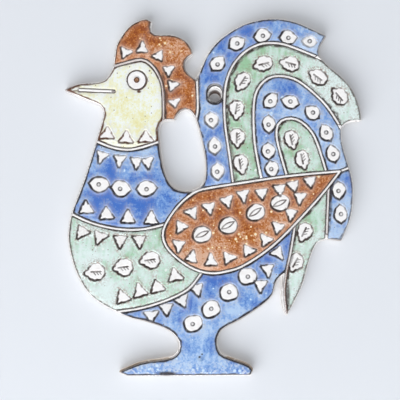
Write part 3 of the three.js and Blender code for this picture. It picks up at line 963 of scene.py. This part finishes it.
class ROOSTER_OT_panels(Operator):
    """Model the glazed clay panels, with their stamped ornament and oxide lines"""

    bl_idname = "rooster.panels"
    bl_label = "Glazed panels"

    front = (1.2, 0.5)  # depths behind the foremost points over which the front begins, mm
    line_front = (2.2, 1.4)  # and over which an oxide line begins
    fall_reach = 1.6  # from the edge, mm
    outline_reach = (4.0, 2.0)  # distances from the rooster's outline at which an edge is part of it, mm
    # Painted shade: edge lines are darker and wider on the upper left, the shadow side of the raised strips
    shaded_edge_side = math.radians(150)  # side on which an edge's oxide is darker, from x
    wide_shaded_edge_side = math.radians(155)  # and on which its line is wider

    def execute(self, context):
        plaque = context.scene.rooster_plaque
        finishes = {slot: make_glaze(glaze, plaque.colours) for slot, glaze in GLAZES.items()}
        for node in (node for node in frame["nodes"] if node.endswith("_panel")):
            self.model(node, plaque.sizes, finishes[SLOT_OF[node]])
        return {"FINISHED"}

    def model(self, node, sizes, finish):
        look = PANEL_LOOKS[node]
        panel = clay_copy(node)
        soften(panel, sizes.panel_grain, sizes.edge_rounding)
        points = read_points(panel)
        spots, height = points[:, [0, 2]], points[:, 2]
        below_front = points[:, 1] - points[:, 1].min()
        facing, near_front = ramp(below_front, *self.front), ramp(below_front, *self.line_front)
        # Oxide and painted shade on the foot's edges that look up
        instep_oxide_and_shade = ramp(read_rise(panel), 0.1, 0.6) * ramp(height, *INSTEP_OXIDE_AND_SHADE)
        inside, bearing = from_edge(node, spots)
        depth, slip, stain, thin = press_stamps(node, look.stamps, spots, sizes)
        fall = sizes.edge_fall / MM * np.exp(-inside / self.fall_reach)
        edge_line = near_front * self.edge_line(node, sizes, spots, inside, bearing)
        # Smears of oxide, and on the comb painted shade
        smudge_and_shade = np.zeros(len(spots))
        for x, z, half_width, half_height, dark in look.smudges_and_shade:
            out = np.hypot((spots[:, 0] - x) / half_width, (height - z) / half_height)
            smudge_and_shade = np.maximum(smudge_and_shade, dark * ramp(out, 1.2, 0.5))
        burst = np.zeros(len(spots))
        for x, z, radius in look.bursts:
            burst = np.maximum(burst, 1 - apart(spots, x, z) / radius)
        on_foot = ramp(height, *FROST) if node == "belly_and_foot_panel" else 0.0
        write_covers(
            panel,
            slip=np.maximum(slip * facing, 1 - facing),
            stain=np.maximum.reduce((stain * facing, edge_line, smudge_and_shade * near_front, 0.35 * instep_oxide_and_shade)),
            thin=np.maximum(thin, 0.55 * np.exp(-inside / (sizes.halo / MM))),
            paler=0.035 * brush_marks(spots, look.heading) + gathered(spots, look.patches),
            burst=burst,
            frost=on_foot * (0.35 + 0.6 * np.exp(-inside / 3.5)),
            iron=gathered(spots, look.iron),
            bubbles=gathered(spots, look.bubbles),
        )
        points[:, 1] += (depth + fall) * facing
        write_points(panel, points)
        settle(panel, node, finish)

    def edge_line(self, node, sizes, spots, inside, bearing):
        """Oxide wiped into the panel's edge, heavier and wider at the upper left as painted shade beside the
        raised strips: whole on a bold outline, and broken here and there elsewhere."""
        look = PANEL_LOOKS[node]
        bold = look.outer_line > 1.0
        outer = ramp(from_edge("backing_slab", spots)[0], *self.outline_reach)
        weight_and_shade = np.full(len(spots), 1.05) if bold else 0.88 + 0.12 * np.cos(bearing - self.shaded_edge_side)
        uneven = 0.25 * wander(spots, 6.0) + 0.1 * wander(spots, 2.2)
        reach = sizes.oxide_line / MM * (0.8 + 0.4 * weight_and_shade + uneven)
        # Lines along the strips are wider on the upper left, as painted shade beside the raised strips
        inner_width = look.inner_line * (1 + 0.38 * np.cos(bearing - self.wide_shaded_edge_side))
        reach *= inner_width + (look.outer_line - inner_width) * outer
        if node == "belly_and_foot_panel":
            reach *= 1 - 0.4 * ramp(spots[:, 1], *THIN_ANKLE)
        for x, z, radius, faded in FADED_LINES:
            reach *= 1 - faded * around(spots, x, z, radius)
        line = weight_and_shade * ramp(inside, 1.9 * reach, 0.8 * reach)
        if not bold:
            line *= 1 - 0.5 * ramp(wander(spots, 3.6), 0.2, 1.0)
        return line * (1 - 0.45 * ramp(wander(spots, 13.0), 0.0, 0.9) * (1 - outer))


class ROOSTER_OT_strips(Operator):
    """Model the white clay strips between the panels"""

    bl_idname = "rooster.strips"
    bl_label = "White strips"

    rounding = 5  # smoothing steps
    end_radius = 1.15  # of the ends that are drawn round, mm

    def execute(self, context):
        plaque = context.scene.rooster_plaque
        slip = make_slip("white slip under clear glaze", plaque.colours, plaque.colours.slip, 0.14)
        for node in (node for node in frame["nodes"] if node.endswith(("_strip", "_ring"))):
            look = STRIP_LOOKS.get(node, StripLook())
            strip = clay_copy(node)
            soften(strip, plaque.sizes.strip_grain, self.rounding)
            points = read_points(strip)
            spots = points[:, [0, 2]]
            inside, bearing = from_edge(node, spots)
            crease = ramp(inside, look.crease + 0.1 * wander(spots, 5.0), 0.1)
            wash = np.full(len(points), look.wash)
            # A dark run down the right side: oxide, and on the comb strip painted shade
            if look.run:
                top, fade, dark = look.run
                run = dark * ramp(np.cos(bearing), -0.3, 0.3) * ramp(top - points[:, 2], 0, fade)
                crease = np.maximum(crease, 0.6 * run)
                wash = np.maximum(wash, run)
            if look.end:
                x, z, facing = look.end
                past = (spots - (x, z)) @ toward(facing)
                off_line = np.abs(apart(spots, x, z) - self.end_radius)
                round_end = ramp(off_line, 0.65, 0.3) * ramp(past, -0.4, 0.2)
                crease = np.maximum(crease * ramp(past, 1.4, 0.4), round_end)
                wash *= ramp(past, 1.6, 0.8)
            write_covers(strip, stain=0.9 * crease, wash=wash)
            settle(strip, node, slip)
        return {"FINISHED"}


class ROOSTER_OT_eye(Operator):
    """Model the white eye disc and its brown pupil"""

    bl_idname = "rooster.eye"
    bl_label = "Eye"

    rounding = 6  # smoothing steps
    disc_hollow = 0.25  # depths of their hollows, mm
    pupil_hollow = 0.35

    def execute(self, context):
        plaque = context.scene.rooster_plaque
        colours = plaque.colours
        for node, finish in (
            ("eye_disc", make_slip("white slip eye under clear glaze", colours, colours.slip, 0.1)),
            ("eye_pupil", make_slip("brown oxide under clear glaze", colours, colours.pupil, 0.3)),
        ):
            piece = clay_copy(node)
            soften(piece, plaque.sizes.eye_grain, self.rounding)
            points = read_points(piece)
            low, high = points.min(axis=0), points.max(axis=0)
            middle, radius = (low + high) / 2, (high[0] - low[0]) / 2
            out = apart(points[:, [0, 2]], middle[0], middle[2])
            front = ramp(points[:, 1] - low[1], 0.8, 0.3)
            if node == "eye_disc":
                points[:, 1] += front * self.disc_hollow * ramp(out, 0.8 * radius, 0.35 * radius)
                stain = ramp(out, radius - 0.6, radius - 0.2)
            else:
                points[:, 1] += front * self.pupil_hollow * bell(out, 0.9)
                stain = np.maximum(bell(out, 0.7), ramp(out, radius - 1.5, radius - 0.8))
            write_points(piece, points)
            write_covers(piece, stain=stain, wash=np.zeros(len(points)))
            settle(piece, node, finish)
        return {"FINISHED"}


class ROOSTER_OT_stage(Operator):
    """Set up the wall, the floor, the lamps and the camera"""

    bl_idname = "rooster.stage"
    bl_label = "Stage"

    wall_gap = 0.4 * MM
    floor_level = -195 * MM
    floor_glow = 0.7  # share of the floor's own colour that the camera sees
    plane_side = 12  # m
    even_light = 0.38  # strength of the light from all sides
    # Daylight from the lower left, a fill from the front and one from behind: place and side in m, power in W
    lamps = (
        ("window", (-0.75, -1.25, -1.45), 2.4, 79.0),
        ("front fill", (0.5, -1.6, 1.0), 1.6, 4.0),
        ("back fill", (-0.7, 1.3, 0.7), 1.4, 20.0),
    )
    face = -11 * MM  # y of the glazed face
    view_middle = (-11.2 * MM, -2.1 * MM)  # x and z that the camera looks at

    def execute(self, context):
        plaque = context.scene.rooster_plaque
        self.add_set(plaque.colours)
        self.add_lamps(context, plaque.colours)
        self.add_camera(context, plaque.sizes)
        context.scene.view_settings.view_transform = "Standard"
        return {"FINISHED"}

    def add_set(self, colours):
        """A pale wall that shows only from its front, and a pale floor below the plaque."""
        for name, paint, place, tilt in (
            ("wall", colours.wall, (0, self.wall_gap, 0), math.pi / 2),
            ("floor", colours.floor, (0, 0, self.floor_level), 0.0),
        ):
            bpy.ops.object.select_all(action="DESELECT")
            bpy.ops.mesh.primitive_plane_add(size=self.plane_side, location=place, rotation=(tilt, 0, 0))
            plane = bpy.context.object
            plane.name = name
            bpy.ops.object.transform_apply()
            plane.visible_shadow = False
            plane.visible_glossy = False
            material, add, _ = new_material(f"matt {name} paint")
            matt = add("BsdfPrincipled", {
                "Base Color": paint, "Roughness": 0.9, "IOR": FIRED_IOR, "Specular IOR Level": 0.2,
            })
            if name == "wall":
                plane.visible_diffuse = False
                share = add("NewGeometry", out="Backfacing")
                other = add("BsdfTransparent")
            else:
                shown = add("LightPath", out="Is Camera Ray")
                share = add("Math", {0: shown, 1: self.floor_glow}, **TIMES)
                other = add("Emission", {"Color": paint, "Strength": 1.0})
            seen = add("MixShader", {0: share, 1: matt, 2: other})
            add("OutputMaterial", {"Surface": seen})
            plane.data.materials.append(material)

    def add_lamps(self, context, colours):
        """Three lamps, even light from all sides, and a pale sky for the camera and for reflections."""
        aim = Vector((0, -5 * MM, 0))
        for name, place, side, power in self.lamps:
            lamp = bpy.data.lights.new(name, "AREA")
            lamp.energy = power
            lamp.size = side
            holder = bpy.data.objects.new(name, lamp)
            holder.location = place
            holder.rotation_euler = (aim - holder.location).to_track_quat("-Z", "Y").to_euler()
            context.collection.objects.link(holder)
        world = bpy.data.worlds.new("studio")
        world.use_nodes = True
        world.node_tree.nodes.clear()
        add = partial(add_node, world.node_tree)
        seen = add("LightPath", out="Is Camera Ray")
        shown = add("Math", {0: seen, 1: seen.node.outputs["Is Glossy Ray"]}, operation="MAXIMUM")
        light = add("Background", {"Color": linear("FFFFFF"), "Strength": self.even_light})
        sky = add("Background", {"Color": colours.sky, "Strength": 1.0})
        mixed = add("MixShader", {0: shown, 1: light, 2: sky})
        add("OutputWorld", {"Surface": mixed})
        context.scene.world = world

    def add_camera(self, context, sizes):
        """Square on to the glazed face, a little left of the plaque's middle."""
        lens = bpy.data.cameras.new("camera")
        lens.sensor_width = 36.0
        lens.lens = lens.sensor_width * sizes.camera_distance / sizes.view_width
        camera = bpy.data.objects.new("camera", lens)
        x, z = self.view_middle
        camera.location = (x, self.face - sizes.camera_distance, z)
        camera.rotation_euler = (math.pi / 2, 0, 0)
        context.collection.objects.link(camera)
        context.scene.camera = camera


OPERATORS = (ROOSTER_OT_slab, ROOSTER_OT_panels, ROOSTER_OT_strips, ROOSTER_OT_eye, ROOSTER_OT_stage)


class ROOSTER_PT_plaque(Panel):
    bl_idname = "ROOSTER_PT_plaque"
    bl_label = "Rooster plaque"
    bl_space_type = "VIEW_3D"
    bl_region_type = "UI"
    bl_category = "Rooster"

    def draw(self, context):
        plaque = context.scene.rooster_plaque
        for group in (plaque.sizes, plaque.colours):
            box = self.layout.box()
            for name in group.__annotations__:
                box.prop(group, name)
        for operator in OPERATORS:
            self.layout.operator(operator.bl_idname)


CLASSES = (PlaqueSizes, GlazeColours, RoosterPlaque, *OPERATORS, ROOSTER_PT_plaque)


def register():
    for cls in CLASSES:
        bpy.utils.register_class(cls)
    bpy.types.Scene.rooster_plaque = PointerProperty(type=RoosterPlaque)


def unregister():
    del bpy.types.Scene.rooster_plaque
    for cls in reversed(CLASSES):
        bpy.utils.unregister_class(cls)


def main():
    register()
    bpy.ops.rooster.slab()
    bpy.ops.rooster.panels()
    bpy.ops.rooster.strips()
    bpy.ops.rooster.eye()
    bpy.ops.rooster.stage()


if __name__ == "__main__":
    main()
